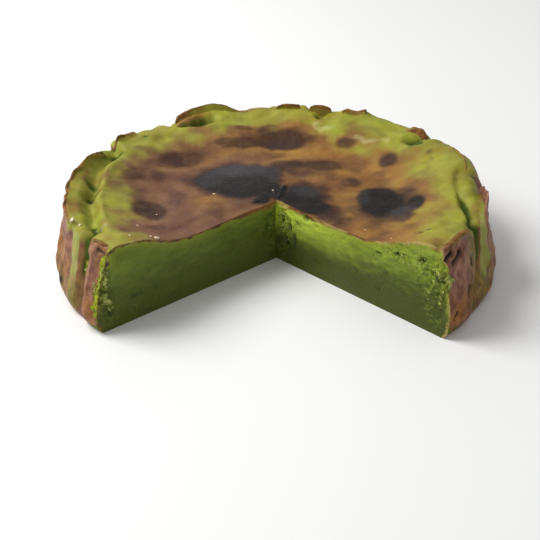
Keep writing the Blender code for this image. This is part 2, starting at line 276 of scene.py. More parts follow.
def makePiece(name, points, faces, materials, attributes, sharpOver=None):
    mesh = bpy.data.meshes.new(name)
    mesh.from_pydata((points / perMetre).tolist(), [], faces)
    mesh.polygons.foreach_set("use_smooth", np.ones(len(mesh.polygons), bool))
    for key, values in attributes.items():
        kind, field = ("FLOAT_VECTOR", "vector") if values.ndim == 2 else ("FLOAT", "value")
        stored = mesh.attributes.new(key, kind, "POINT").data
        stored.foreach_set(field, values.astype(np.float32).ravel())
    for material in materials:
        mesh.materials.append(material)
    mesh.update()
    if sharpOver:
        mesh.set_sharp_from_angle(angle=math.radians(sharpOver))
    piece = bpy.data.objects.new(name, mesh)
    bpy.context.scene.collection.objects.link(piece)
    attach(piece, "root")
    return piece


def skinProfile():
    # Radius and height of each row: a dished top, a quarter ellipse over the shoulder, a leaning wall, and
    # a quarter ellipse in to the foot. With them each row's distance past the rim's corner, and its
    # normal's parts outward and upward.
    s, rows = cakeShape, bodyMesh
    crest, dish = s["crestShare"] * s["radius"], s["dishShare"] * s["radius"]
    wallTop = s["radius"] - s["wallLean"], s["rimHeight"] - s["shoulderDrop"]
    heartEdge, middleEdge = rows["heartEdge"] * s["radius"], rows["middleEdge"] * s["radius"]
    top = np.concatenate([np.linspace(0, heartEdge, rows["heart"], endpoint=False),
                          np.linspace(heartEdge, middleEdge, rows["middle"], endpoint=False),
                          np.linspace(middleEdge, crest, rows["top"])])
    rise = smooth((top - dish) / (crest - dish))
    bend, down, foot = (np.linspace(0, 1, rows[part] + 1)[1:] for part in ("shoulder", "wall", "foot"))
    quarter = math.pi / 2
    profile = np.hstack([
        (top, s["middleHeight"] + (s["rimHeight"] - s["middleHeight"]) * rise),
        (crest + (wallTop[0] - crest) * np.sin(bend * quarter),
         s["rimHeight"] - s["shoulderDrop"] * (1 - np.cos(bend * quarter))),
        (wallTop[0] + s["wallLean"] * np.sin(down * quarter),
         wallTop[1] + (s["footHeight"] - wallTop[1]) * down),
        (s["radius"] - s["footInset"] * (1 - np.cos(foot * quarter)),
         s["footHeight"] * (1 - np.sin(foot * quarter))),
    ])
    length = np.concatenate([[0], np.cumsum(np.linalg.norm(np.diff(profile), axis=0))])
    length -= length[len(top) + rows["shoulder"] // 2 - 1]
    step = np.gradient(profile, axis=1)
    step /= np.linalg.norm(step, axis=0)
    return length, (*profile, -step[1], step[0])


profileLength, profileColumns = skinProfile()


def profileAt(along):  # the radius, the height and the normal's two parts
    return [np.interp(along, profileLength, column) for column in profileColumns]


def pathDistance(place, path):
    # Over the skin, from each place to the nearest of a path's straight stretches. It is above 0 on the
    # right of the way the path runs, as seen from outside, and below 0 on the left.
    azimuth, along, radius = place
    nearest, side = np.full(azimuth.shape, np.inf), np.ones(azimuth.shape)
    for (azimuthA, alongA), (azimuthB, alongB) in zip(path, path[1:]):
        x, stepX = (np.radians(turnFrom(there, azimuthA)) * radius for there in (azimuth, azimuthB))
        y, stepY = along - alongA, alongB - alongA
        part = np.clip((x * stepX + y * stepY) / np.maximum(stepX ** 2 + stepY ** 2, 1e-6), 0, 1)
        apart = np.hypot(x - part * stepX, y - part * stepY)
        side = np.where(apart < nearest, np.where(stepX * y - stepY * x > 0, 1, -1), side)
        nearest = np.minimum(nearest, apart)
    return nearest * side


def spotReach(place, spot):  # the distance from a spot's middle, as a share of its half width and half height
    (azimuth, along, radius), (centre, past, halfWide, halfHigh) = place, spot[:4]
    return np.hypot(np.radians(turnFrom(azimuth, centre)) * radius / halfWide, (along - past) / halfHigh)


def spotMask(place, spots, edge, softness):
    # The strongest of the spots at each place: each is 0 past the edge and whole a softness inside it
    return np.max([spot[4] * smooth((edge - spotReach(place, spot)) / softness) for spot in spots], axis=0)


def blotches(x, y, patches, fray):
    # The strongest of the patches at each place: each fades over its softness at its ellipse's frayed edge
    strongest = np.zeros(x.shape)
    for placeX, placeY, halfX, halfY, turn, softness, strength in patches:
        turnX, turnY = compass(turn)
        across = ((x - placeX) * turnX + (y - placeY) * turnY) / halfX
        back = ((y - placeY) * turnX - (x - placeX) * turnY) / halfY
        reach = np.hypot(across, back) + fray
        strongest = np.maximum(strongest, strength * smooth((1 + softness / 2 - reach) / softness))
    return strongest


def skinRise(x, y, azimuth, along):
    # What the folded paper and the oven did to the plain profile: the push along its normal, the lift, the
    # swell of the radius, and the masks that the materials read
    s = cakeShape
    radius, height, _, _ = profileAt(along)
    flat = np.stack([x, y, height], axis=-1)
    share = radius / s["radius"]
    rim = smooth((share - 0.4) / 0.5) * smooth(height / s["rimHeight"])
    down = np.clip(along / profileLength[-1], 0, 1)
    wall = smooth((along + 4) / 10) * (1 - smooth((down - 0.8) / 0.3))
    uneven = softNoise("uneven", flat)
    turned = azimuth + np.degrees(softNoise("sideDrift", flat) * rim / np.maximum(radius, 10))
    place, drifted = (azimuth, along, radius), (turned, along + softNoise("downDrift", flat) * rim, radius)
    masks = {name: np.zeros(x.shape) for name in skinMasks}

    def mark(name, strength):
        masks[name] = np.maximum(masks[name], strength)

    sunk = np.zeros(x.shape)
    for depth, inner, outer, (dark, darkPlace, darkHalf, slide), (near, far), path in paperGrooves.values():
        apart = pathDistance(drifted, path)
        if turnFrom(path[-2][0], path[0][0]) < 0:  # on a clockwise path the middle is on its other side
            apart = -apart
        sunk = np.maximum(sunk, depth * bell(apart, np.where(apart > 0, outer, inner)))
        strip = dark * bell(apart - darkPlace - slide * smooth((along + 1) / 4), darkHalf)
        fade = 1 - 0.8 * smooth((along - 12) / 10) * (slide > 0)
        mark("groove", strip * fade * (0.9 + 0.15 * uneven))
        bank = smooth((apart - near) / 1.2) * (1 - smooth((apart - far) / 2)) + 0.6 * bell(apart + 2.6, 0.6)
        mark("flank", bank * smooth((along + 2) / 5) * (1 - 0.65 * smooth((along - 15) / 14)))
    push = -sunk
    for rise, half, path in paperRidges:
        apart = pathDistance(drifted, path)
        push += rise * bell(apart, half)
        mark("crest", bell(apart, 1.1) * min(rise / 1.6, 1))
    for centre, past, half, depth in grooveHollows:
        reach = spotReach(place, (centre, past, half, half))
        push -= depth * bell(reach, 1)
        mark("groove", bell(reach, 1.25 + 0.4 * uneven))
    # Slits take the scorch colour as painted shade inside them
    for half, depth, path in skinSlits:
        apart = pathDistance(place, path) + 0.3 * uneven
        push -= depth * bell(apart, half)
        mark("scorch", bell(apart, half * 1.1))
    push += 0.25 * sum(bell(spotReach(place, streak), 1) for streak in moistStreaks)

    # A bell-shaped groove at each upright crease, and a step in radius across it that fades on both sides
    width = math.degrees(wallFolds["halfWidth"] / s["radius"])
    for centre, lean, depth in wallCreases:
        apart = turnFrom(turned, centre + lean * down)
        over = np.sign(lean) * np.tanh(apart / width) * np.exp(-np.abs(apart) / wallFolds["panelFade"])
        push += wall * (wallFolds["panelStep"] * over - depth * bell(apart, width))
        # The crease is painted dark green, partly as shade in it
        mark("groove", 0.9 * wall * bell(apart, width * 0.7))
        mark("flank", 0.8 * wall * np.where(apart * lean < 0, bell(np.abs(apart) - 3, 2.6), 0))
    unrolled = np.stack([np.radians(azimuth) * s["radius"], along * 0.35, radius * 0], axis=-1)
    push += wallFolds["wrinkles"] * (1 - np.abs(softNoise("wallWrinkles", unrolled))) * wall
    push += softNoise("rimLumps", flat) * smooth((share - 0.62) / 0.2) + softNoise("skinGrain", flat)

    lift = rim * (wavesRound(azimuth, rimWaves) + smooth((share - 0.62) / 0.22) * between(azimuth, rimLifts))
    blister = 0.5 * np.sin(x / 11 + 1) * np.sin(y / 13) + softNoise("swells", flat)
    lift = lift + np.where(along < 0, blister, 0)
    swell = smooth(share) * wavesRound(azimuth, wallWaves)
    swell += smooth((share - 0.6) / 0.3) * (smooth(height / 32) * between(azimuth, rimLeans)
                                            + (1 - smooth(height / 22)) * between(azimuth, footLeans))

    placeX, placeY = x / s["radius"] * 100, y / s["radius"] * 100
    fray = softNoise("fray", flat) + softNoise("fineFray", flat)
    for name, patches in ovenPatches.items():
        mark(name, blotches(placeX, placeY, patches, fray * patchFray[name]))
    banked = spotMask(drifted, brownedBanks, 1.7 + 0.3 * uneven, 1.4)
    mark("toast", banked)
    mark("toast", smooth((between(azimuth, toastReach) + 0.12 + softNoise("toastEdge", flat) - share) / 0.28))
    mark("scorch", spotMask(place, wallBurns, 1.3 + 0.3 * uneven, 0.7))
    mark("moist", masks["scab"] * 0.4)
    mark("moist", spotMask(place, moistStreaks, 1.8 + 0.5 * uneven, 1.5))
    mark("torn", spotMask(place, tornEdges, 1.1 + softNoise("tornEdge", flat), 0.25))
    for tint, spots in skinTints.items():
        mark(tint, spotMask(drifted, spots, 1.6 + 0.3 * uneven, 1.2))
    byCut = smooth((azimuth - 211) / 2) + smooth((-27 - azimuth) / 2)  # the wall browned higher up there
    panelEdge = along + 2.6 * byCut - 0.4 + (1 - 0.6 * byCut) * softNoise("panelEdge", flat)
    mark("panel", smooth(panelEdge / (4 - 2.4 * byCut)))
    ochre = placeX / 80 + 0.45 + 0.45 * smooth((placeY - 25) / 35) + softNoise("ochreDrift", flat)
    mark("ochre", np.maximum(smooth(ochre), smooth(banked * 1.6)))
    push += masks["scab"] * (0.2 + softNoise("scabRelief", flat))
    push += masks["torn"] * (softNoise("tornRelief", flat) - 0.3)
    lift += 0.2 * smooth(masks["scorch"]) * (along < 0)
    return push * np.clip(height / s["footHeight"], 0, 1), lift, swell, masks


def skinPoint(azimuth, along):
    # Places on the finished skin, and the plain profile's normals there
    radius, height, outward, upward = profileAt(along)
    level = compass(azimuth)
    push, lift, swell, _ = skinRise(*(radius * level.T), azimuth, along)
    grown = (radius + swell + push * outward)[:, None] * level
    points = np.column_stack([grown + (axisX, axisY), height + lift + push * upward + floorZ])
    return points, np.column_stack([outward[:, None] * level, upward])


def skinGrid():
    # Rays leave the apex at even azimuths between the strokes. A row's points lie where the rays meet the
    # row's circle about the axis, and are then pushed along the ray and up by the relief at that place.
    s, along = cakeShape, profileLength[:, None]
    radius, height, outward, upward = profileAt(along)
    ray = np.linspace(s["cutFrom"], s["cutTo"], bodyMesh["columns"] + 1)
    lean = (between(along, cutLean[1]) * smooth((s["cutFrom"] + 14 - ray) / 14)
            + between(along, cutLean[-1]) * smooth((ray - s["cutTo"] + 14) / 14))
    wayX, wayY = np.moveaxis(compass(ray + lean), -1, 0)
    near = smooth(radius / 8)  # the apex is off the axis, which matters less further out
    apexX, apexY = s["apex"]
    ahead = (apexX * wayX + apexY * wayY) * near
    reach = -ahead + np.sqrt(np.maximum(ahead ** 2 + radius ** 2 - (apexX ** 2 + apexY ** 2) * near ** 2, 0))
    x, y = apexX + reach * wayX, apexY + reach * wayY
    azimuth = (np.degrees(np.arctan2(y, x)) + 90) % 360 - 90
    along = np.broadcast_to(along, x.shape)
    push, lift, swell, masks = skinRise(x, y, azimuth, along)
    reach = reach + (swell + push * outward) * (radius > 0.001)
    z = height + np.where(height > 0, lift + push * upward, 0)
    masks["unrolled"] = np.stack([np.radians(azimuth) * s["radius"], along, z], axis=-1)
    x, y = apexX + reach * wayX + axisX, apexY + reach * wayY + axisY
    return np.stack([x, y, z + floorZ], axis=-1), masks


def skinFaces(rowCount):
    # Indices of the kept points of each row, which has every fourth point in the heart and every second in
    # the middle, and the faces between each two rows: quads, or three triangles where the points halve
    columns = bodyMesh["columns"]
    strides = np.ones(rowCount, int)
    strides[:bodyMesh["heart"] + bodyMesh["middle"]] = 2
    strides[:bodyMesh["heart"]] = 4
    strides[0] = columns + 1  # all the rays meet at the apex
    kept = columns // strides + 1
    rows = [np.arange(end - many, end) for many, end in zip(kept, np.cumsum(kept))]
    faces = []
    for inner, outer in zip(rows, rows[1:]):
        if len(inner) == 1:
            kinds = [(outer[:-1] * 0, outer[:-1], outer[1:])]
        elif len(inner) == len(outer):
            kinds = [(inner[:-1], outer[:-1], outer[1:], inner[1:])]
        else:
            left, middle, right = outer[:-1:2], outer[1::2], outer[2::2]
            kinds = [(inner[:-1], left, middle), (inner[:-1], middle, inner[1:]), (inner[1:], middle, right)]
        for corners in kinds:
            faces += np.stack(corners, axis=1).tolist()
    return rows, strides, faces


# The cut faces, the right one (1) and the left one (-1). Where the curd tore coarse instead of cutting
# clean: distance from the apex and height, half length along and up, strength. Then deeper tears, the same
# with a depth, and small pits.
crumbledZones = {
    1: [(87, 25.5, 8.5, 9, 1), (72, 30.5, 12, 3.5, 0.7), (90, 12, 5, 8, 0.6), (4, 18, 4, 13, 1),
        (12, 17, 5, 6, 0.5)],
    -1: [(3, 19, 3, 12, 0.8), (93.5, 18, 3.5, 12, 0.9), (85, 6, 10, 4, 0.4)],
}
cutTears = {
    1: [(81.2, 31, 1.6, 0.9, 1.6), (79.5, 30, 0.9, 0.8, 1.2), (86.8, 26.2, 1.2, 1, 1.5),
        (88.4, 25.6, 1.4, 1, 1.5), (83.5, 27.5, 0.9, 0.7, 1), (91.2, 23.8, 1.3, 0.8, 1.2),
        (95.2, 21.5, 1.2, 2, 1.8), (69, 29, 1.2, 0.7, 1), (72, 30, 0.8, 0.6, 0.9), (60, 26.5, 1, 0.6, 0.8),
        (4, 22, 1, 4, 1), (8, 19, 1.1, 3, 1.2), (11, 13, 1, 3, 1), (6, 12, 1.2, 2.6, 1.2),
        (17.8, 26.8, 3.2, 1.2, 1.8), (13, 22, 1, 1.4, 0.8)],
    -1: [(5, 20, 0.8, 5, 0.8), (78, 12, 2.2, 1, 0.8), (90, 8, 2, 1.2, 1.2), (93.5, 17, 1.2, 2.2, 1.2)],
}
cutPits = {"many": 26, "size": (0.6, 1.2), "depth": 0.8, "highest": 34}
cutsApart = 300  # between the patterns of the two cuts


def cutGrid(edge, side):
    # A line runs from each point of the skin's edge down to the base, all of them leaning so that they fan
    # out evenly along it. Relief pushes the lines' inner points along the cut's normal, and fades at its
    # border.
    apex, foot = edge[0] * (1, 1, 0) + (0, 0, floorZ), edge[-1]
    reach = np.linalg.norm((edge - apex)[:, :2], axis=1)
    base = apex + (foot - apex) * (np.maximum.accumulate(reach) / reach.max())[:, None]
    t = np.linspace(0, 1, bodyMesh["cutDepth"] + 1)[:, None]
    points = edge[:, None] + (base - edge)[:, None] * (0.35 * t ** 2 + 0.65 * t)
    level = (foot - apex) / np.linalg.norm(foot - apex)
    outward = np.cross(level, (0, 0, 1)) * side
    out, high = (points - apex) @ level, points[..., 2] - floorZ
    place = np.stack([out, high, np.full(out.shape, side * cutsApart)], axis=-1)

    def cutReach(spot):  # as spotReach, on the cut
        return np.hypot((out - spot[0]) / spot[2], (high - spot[1]) / spot[3])

    relief = softNoise("cutWaver", points, side) + softNoise("cutDrag", place * (0.35, 1, 1), side)
    draw = np.random.default_rng(30 + side)
    for _ in range(cutPits["many"]):
        pit = draw.uniform(0.05, 0.97) * reach.max(), draw.beta(2.2, 1.1) * cutPits["highest"]
        size = draw.uniform(*cutPits["size"])
        relief -= cutPits["depth"] * size * bell(cutReach((*pit, size, size)), 1)
    rough, tear, ragged = np.zeros(out.shape), np.zeros(out.shape), softNoise("tearEdge", place)
    for *spot, strength in crumbledZones[side]:
        rough = np.maximum(rough, strength * smooth(1.6 - cutReach(spot)))
    relief += rough * (softNoise("crumble", place) + np.abs(softNoise("fineCrumble", place)) - 0.4)
    for *spot, tearDepth in cutTears[side]:
        apart = cutReach(spot) + ragged
        relief -= tearDepth * bell(np.maximum(apart, 0), 1) - 0.4 * bell(apart - 1.6, 0.5)
        tear = np.maximum(tear, bell(np.maximum(apart, 0), 0.9))
    depth = np.full(out.shape, np.inf)
    for shift in (-6, -3, 0, 3, 6):  # the skin can be nearer sideways than along the line
        moved = np.roll(edge, shift, axis=0)
        moved[:6], moved[-6:] = edge[:6], edge[-6:]
        depth = np.minimum(depth, np.linalg.norm(points - moved[:, None], axis=-1))
    inside = smooth(depth / 1.2) * smooth(high / 1.5) * smooth(reach[:, None] / 3)
    marks = {"cutPlace": place, "cutDepth": depth, "tear": tear * inside, "rough": rough}
    return points + (relief * inside)[..., None] * outward, marks, outward


def makeBody():
    # The skin, the two cuts from its ends in to the line under the apex, and the base
    grid, masks = skinGrid()
    rows, strides, faces = skinFaces(len(grid))
    keep = [(row, slice(None, None, stride)) for row, stride in enumerate(strides)]
    points = np.concatenate([grid[index] for index in keep])
    skinCount, skinFaceCount = len(points), len(faces)
    place = np.zeros((skinCount, 3))
    blocks, ring, sheets, apexLine = [points], {}, {}, None
    cutMasks = {"cutPlace": [place]} | {name: [np.zeros(skinCount)] for name in ("cutDepth", "tear", "rough")}
    for side, end in ((1, 0), (-1, -1)):
        edge = np.array([row[end] for row in rows])
        cut, marks, outward = cutGrid(points[edge], side)
        sheets[side] = cut.reshape(-1, 3), marks["cutPlace"].reshape(-1, 3), outward
        place[edge] = marks["cutPlace"][:, 0]
        index = np.empty(cut.shape[:2], int)
        index[:, 0], index[-1] = edge, edge[-1]
        added = np.s_[:-1, 1:]
        if apexLine is not None:
            index[0], added = apexLine, np.s_[1:-1, 1:]
        index[added] = sum(map(len, blocks)) + np.arange(index[added].size).reshape(index[added].shape)
        apexLine = index[0]
        blocks.append(cut[added].reshape(-1, 3))
        for name, values in marks.items():
            cutMasks[name].append(values[added].reshape(-1, *values.shape[2:]))
        quads = [index[:-1, :-1], index[:-1, 1:], index[1:, 1:], index[1:, :-1]]
        quads = np.stack(quads if side > 0 else [quads[0], *quads[:0:-1]], axis=-1)
        faces += quads[:-1].reshape(-1, 4).tolist()
        # The last line has shrunk to the foot, so its faces are triangles
        faces += [list(dict.fromkeys(quad)) for quad in quads[-1].tolist()]
        ring[side] = index[:, -1]
    faces.append(np.concatenate([ring[1][:-1], rows[-1][:-1], ring[-1][:0:-1]])[::-1].tolist())
    points = np.concatenate(blocks)
    attributes = {name: np.concatenate(values) for name, values in cutMasks.items()}
    for name, values in masks.items():
        attributes[name] = np.zeros((len(points), *values.shape[2:]))
        attributes[name][:skinCount] = np.concatenate([values[index] for index in keep])
    piece = makePiece("cheesecakeBody", points, faces, [bakedSkin, matchaCurd, paperedBase], attributes,
                      sharpOver=50)
    kinds = np.repeat([0, 1, 2], [skinFaceCount, len(faces) - skinFaceCount - 1, 1])
    piece.data.polygons.foreach_set("material_index", kinds)
    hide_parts("cheesecake")
    print("body made,", len(points), "points")
    return sheets


# Shader building. Each helper adds a node to the tree of the sockets that it is given, and returns its
# output.
def feed(socket, value):
    if isinstance(value, bpy.types.NodeSocket):
        socket.id_data.links.new(value, socket)
    else:
        socket.default_value = value


def fill(inputs, **values):
    for name, value in values.items():
        feed(inputs[name.replace("_", " ")], value)


def put(tree, kind, settings=None, **values):
    made = tree.nodes.new("ShaderNode" + kind)
    for name, value in (settings or {}).items():
        setattr(made, name, value)
    fill(made.inputs, **values)
    return made


def combined(kind, settings, values, places, output=0):  # for nodes whose sockets share a name
    tree = next(value.id_data for value in values if isinstance(value, bpy.types.NodeSocket))
    made = put(tree, kind, settings)
    for place, value in zip(places, values):
        feed(made.inputs[place], value)
    return made.outputs[output]


def maths(operation, first, *others):  # first with each of the others in turn
    for other in others:
        first = combined("Math", {"operation": operation}, (first, other), (0, 1))
    return first


def times(*factors):
    return maths("MULTIPLY", *factors)


def plus(*terms):
    return maths("ADD", *terms)


def minus(first, second):
    return maths("SUBTRACT", first, second)


def most(*values):
    return maths("MAXIMUM", *values)


def ramp(value, low, high, start=0, end=1):  # start below low, end above high, smooth between
    values = value, low, high, start, end
    return combined("MapRange", {"interpolation_type": "SMOOTHSTEP"}, values, range(5))


def mixed(share, first, second):
    return combined("Mix", {"data_type": "RGBA"}, (share, first, second), (0, 6, 7), 2)


def layered(colour, *layers):  # each layer's share and its colour, over those before it
    for share, over in layers:
        colour = mixed(share, colour, over)
    return colour


def mask(tree, name, output="Fac"):
    return put(tree, "Attribute", {"attribute_name": name}).outputs[output]


def palette(**tones):  # from screen values to the linear ones that shaders take
    return {name: tuple(value / 255 / 12.92 if value < 11 else ((value / 255 + 0.055) / 1.055) ** 2.4
                        for value in tone) + (1,) for name, tone in tones.items()}


def newGroup(name, inputs, outputs):
    # Every input is a number, apart from Vector
    group = bpy.data.node_groups.new(name, "ShaderNodeTree")
    group.interface.new_socket(name="Vector", in_out="INPUT", socket_type="NodeSocketVector")
    for socket, value in inputs.items():
        made = group.interface.new_socket(name=socket, in_out="INPUT", socket_type="NodeSocketFloat")
        made.default_value = value
    for socket in outputs:
        group.interface.new_socket(name=socket, in_out="OUTPUT", socket_type="NodeSocketFloat")
    return group, group.nodes.new("NodeGroupInput").outputs, group.nodes.new("NodeGroupOutput").inputs


def makeGrainGroup():
    # Fine baked grain: noise at the given size with finer layers in it, less small round pores
    group, given, out = newGroup("bakedGrain", {"Size": 2, "Pores": 0.5}, ("Height", "Pore Mask"))
    vector, scale = given["Vector"], maths("DIVIDE", 1, given["Size"])
    coarse = put(group, "TexNoise", Vector=vector, Scale=scale, Detail=5, Roughness=0.6).outputs[0]
    cells = put(group, "TexVoronoi", Vector=vector, Scale=times(scale, 0.8), Randomness=1).outputs
    chosen = ramp(put(group, "SeparateColor", Color=cells["Color"]).outputs[0], 0.55, 0.62)
    pore = times(ramp(cells["Distance"], 0.16, 0.34, 1, 0), chosen, given["Pores"])
    fill(out, Height=minus(coarse, pore), Pore_Mask=pore)
    return group


def makeMottleGroup():
    # Slow uneven colour: noises of the given size and of about a quarter of it, drawn apart to fill 0 to 1
    group, given, out = newGroup("ovenMottle", {"Size": 12}, ("Broad", "Fine"))
    vector, scale = given["Vector"], maths("DIVIDE", 1, given["Size"])
    broad = put(group, "TexNoise", Vector=vector, Scale=scale, Detail=1.6, Roughness=0.5, Distortion=0.15)
    fine = put(group, "TexNoise", Vector=vector, Scale=times(scale, 3.7), Detail=3, Roughness=0.55)
    fill(out, Broad=ramp(broad.outputs[0], 0.32, 0.68), Fine=ramp(fine.outputs[0], 0.3, 0.7))
    return group


bakedGrain = makeGrainGroup()
ovenMottle = makeMottleGroup()


def grained(vector, size, pores):  # the grain's height and its pores
    made = put(vector.id_data, "Group", {"node_tree": bakedGrain}, Vector=vector, Size=size, Pores=pores)
    return made.outputs["Height"], made.outputs["Pore Mask"]


def mottled(vector, size):  # the broad mottle and the fine one
    made = put(vector.id_data, "Group", {"node_tree": ovenMottle}, Vector=vector, Size=size)
    return made.outputs["Broad"], made.outputs["Fine"]


def mapped(vector, **values):
    return put(vector.id_data, "Mapping", Vector=vector, **values).outputs[0]


def bumped(height, depth, strength=1):
    return put(height.id_data, "Bump", Height=height, Distance=depth / perMetre, Strength=strength).outputs[0]


def newMaterial(name):
    # A material, its tree, its shader's sockets and the place on the piece in millimetres
    material = bpy.data.materials.new(name)
    material.use_nodes = True
    tree = material.node_tree
    place = put(tree, "TexCoord").outputs["Object"]
    place = put(tree, "VectorMath", {"operation": "SCALE"}, Vector=place, Scale=perMetre).outputs[0]
    return material, tree, tree.nodes["Principled BSDF"].inputs, place


# A grey sheen on the scorch, the pale moist tone and part of the dark groove green are painted light and
# shade
skinLook = palette(
    lime=(162, 166, 50), olive=(140, 136, 36), leaf=(104, 112, 20), tinge=(150, 114, 46), sage=(148, 156, 72),
    tan=(130, 92, 66), toasted=(111, 72, 52), umber=(86, 52, 38), ochre=(162, 122, 52), sienna=(138, 90, 44),
    char=(60, 34, 22), scorch=(19, 14, 14), scorchBrown=(31, 21, 19), ash=(70, 65, 69), scab=(12, 8, 8),
    plum=(162, 118, 98), plumDark=(112, 74, 64), rust=(162, 108, 50), rustDark=(114, 70, 30),
    moss=(140, 120, 48), mossDark=(92, 80, 28), flakeDark=(96, 54, 28), flakeOchre=(164, 120, 56),
    flakeRed=(116, 60, 30), panel=(152, 106, 84), panelDark=(96, 58, 46), panelOchre=(156, 112, 58),
    groove=(62, 80, 12), flank=(160, 162, 92), moist=(206, 204, 140), torn=(176, 180, 48),
    tornDeep=(92, 112, 24))
skinFinish = {"grainDepth": 0.18, "moistGloss": 0.3, "coatRoughness": 0.36, "specular": 0.2}


def makeBakedSkin():
    look = skinLook
    material, tree, shader, place = newMaterial("bakedSkin")
    broad, fine = mottled(place, 16)
    wideBroad, wideFine = mottled(mapped(place, Location=(310, 170, 0)), 26)
    speckBroad, speckFine = mottled(place, 5)
    cloudy, _ = mottled(place, 10)
    edgeNoise = times(minus(cloudy, 0.5), 0.3)

    def spread(name, low=0, high=1):  # a mask with a clouded edge
        return ramp(plus(mask(tree, name), edgeNoise), low, high)

    rim = layered(mixed(broad, look["olive"], look["lime"]), (times(speckBroad, 0.3), look["leaf"]),
                  (times(wideFine, 0.35), look["sage"]), (times(wideBroad, 0.28), look["tinge"]))
    patchy = plus(times(fine, 0.3), times(broad, 0.45), times(speckBroad, 0.3))
    toast = mixed(mask(tree, "ochre"), mixed(patchy, look["toasted"], look["tan"]),
                  mixed(patchy, look["sienna"], look["ochre"]))
    toast = mixed(times(cloudy, 0.45), toast, look["umber"])
    ash = mask(tree, "ash")
    scorch = ramp(plus(mask(tree, "scorch"), times(edgeNoise, 0.5)), 0, 1.05)
    burnt = mixed(times(broad, 0.4), look["scorch"], look["scorchBrown"])
    # The scorch is near black, and a grey sheen is painted over part of it as its reflection
    colour = layered(rim, (spread("toast"), toast), (times(spread("char"), 0.92), look["char"]),
                     (scorch, mixed(times(ash, 0.54), burnt, look["ash"])),
                     (mask(tree, "scab"), look["scab"]))

    unrolled = mask(tree, "unrolled", "Vector")
    bandBroad, bandFine = mottled(mapped(unrolled, Scale=(1, 0.5, 0.5)), 11)
    panel = mixed(bandBroad, look["panel"], look["panelOchre"])
    panel = mixed(times(bandFine, 0.7), panel, look["panelDark"])
    for tint in skinTints:
        panel = mixed(times(mask(tree, tint), 0.9), panel, mixed(bandFine, look[tint], look[tint + "Dark"]))
    flake = mixed(speckBroad, look["flakeDark"], mixed(speckFine, look["flakeRed"], look["flakeOchre"]))
    # Grooves, hollows and flap roots are dark green, partly their own colour and partly painted shade
    groove, torn = ramp(mask(tree, "groove"), 0.05, 1), ramp(mask(tree, "torn"), 0.3, 0.7)
    burntWall = times(scorch, most(mask(tree, "panel"), mask(tree, "crest")))
    # Butter has come out in places, which shine with a coat and are painted pale as a highlight
    wet = ramp(times(mask(tree, "moist"), ramp(fine, 0, 1, 0.6, 1.3)), 0.1, 1.1)
    # The pale tone here is a painted highlight
    milky = most(times(wet, minus(0.28, mask(tree, "scab"))), 0)
    low = ramp(put(tree, "SeparateXYZ", Vector=unrolled).outputs[2], 4, 14)
    colour = layered(colour, (mask(tree, "panel"), panel), (times(spread("crest", 0.35, 0.85), 0.8), flake),
                     (times(spread("flank", 0.35, 0.95), 0.85), mixed(fine, look["sage"], look["flank"])),
                     (groove, look["groove"]), (burntWall, look["scorch"]), (milky, look["moist"]),
                     (torn, mixed(times(low, speckFine), look["tornDeep"], look["torn"])))
    gloss = most(wet, times(ramp(scorch, 0.4, 1), ash, 0.35))
    fill(shader, Base_Color=colour, Coat_Weight=times(gloss, skinFinish["moistGloss"]),
         Roughness=plus(ramp(speckFine, 0, 1, 0.46, 0.62), times(most(groove, torn), 0.25)),
         Coat_Roughness=skinFinish["coatRoughness"], Specular_IOR_Level=skinFinish["specular"],
         Normal=bumped(grained(place, 2.4, 0.35)[0], skinFinish["grainDepth"], 0.8))
    return material


# Some of these tones paint light and shade: shaded darkens the left cut as painted shade, foot darkens both
# cuts towards the base as painted shadow, the brightest lime is a painted pool of light by the apex, and pore
# paints shade in holes
curdLook = palette(
    fresh=(134, 153, 36), pale=(157, 176, 56), deep=(88, 102, 16), foot=(65, 73, 12), shaded=(80, 92, 20),
    crust=(138, 88, 46), crustDark=(46, 26, 18), crustRim=(156, 130, 54), crustPale=(190, 164, 96),
    underSkin=(142, 152, 40), bright=(188, 208, 70), fleck=(166, 186, 70), pore=(46, 66, 16))
curdFinish = {"crustWidth": 0.8, "grainDepth": 0.3, "specular": 0.3, "subsurface": 0.12,
              "subsurfaceRadius": (0.5, 1, 0.25), "subsurfaceDepth": 2}


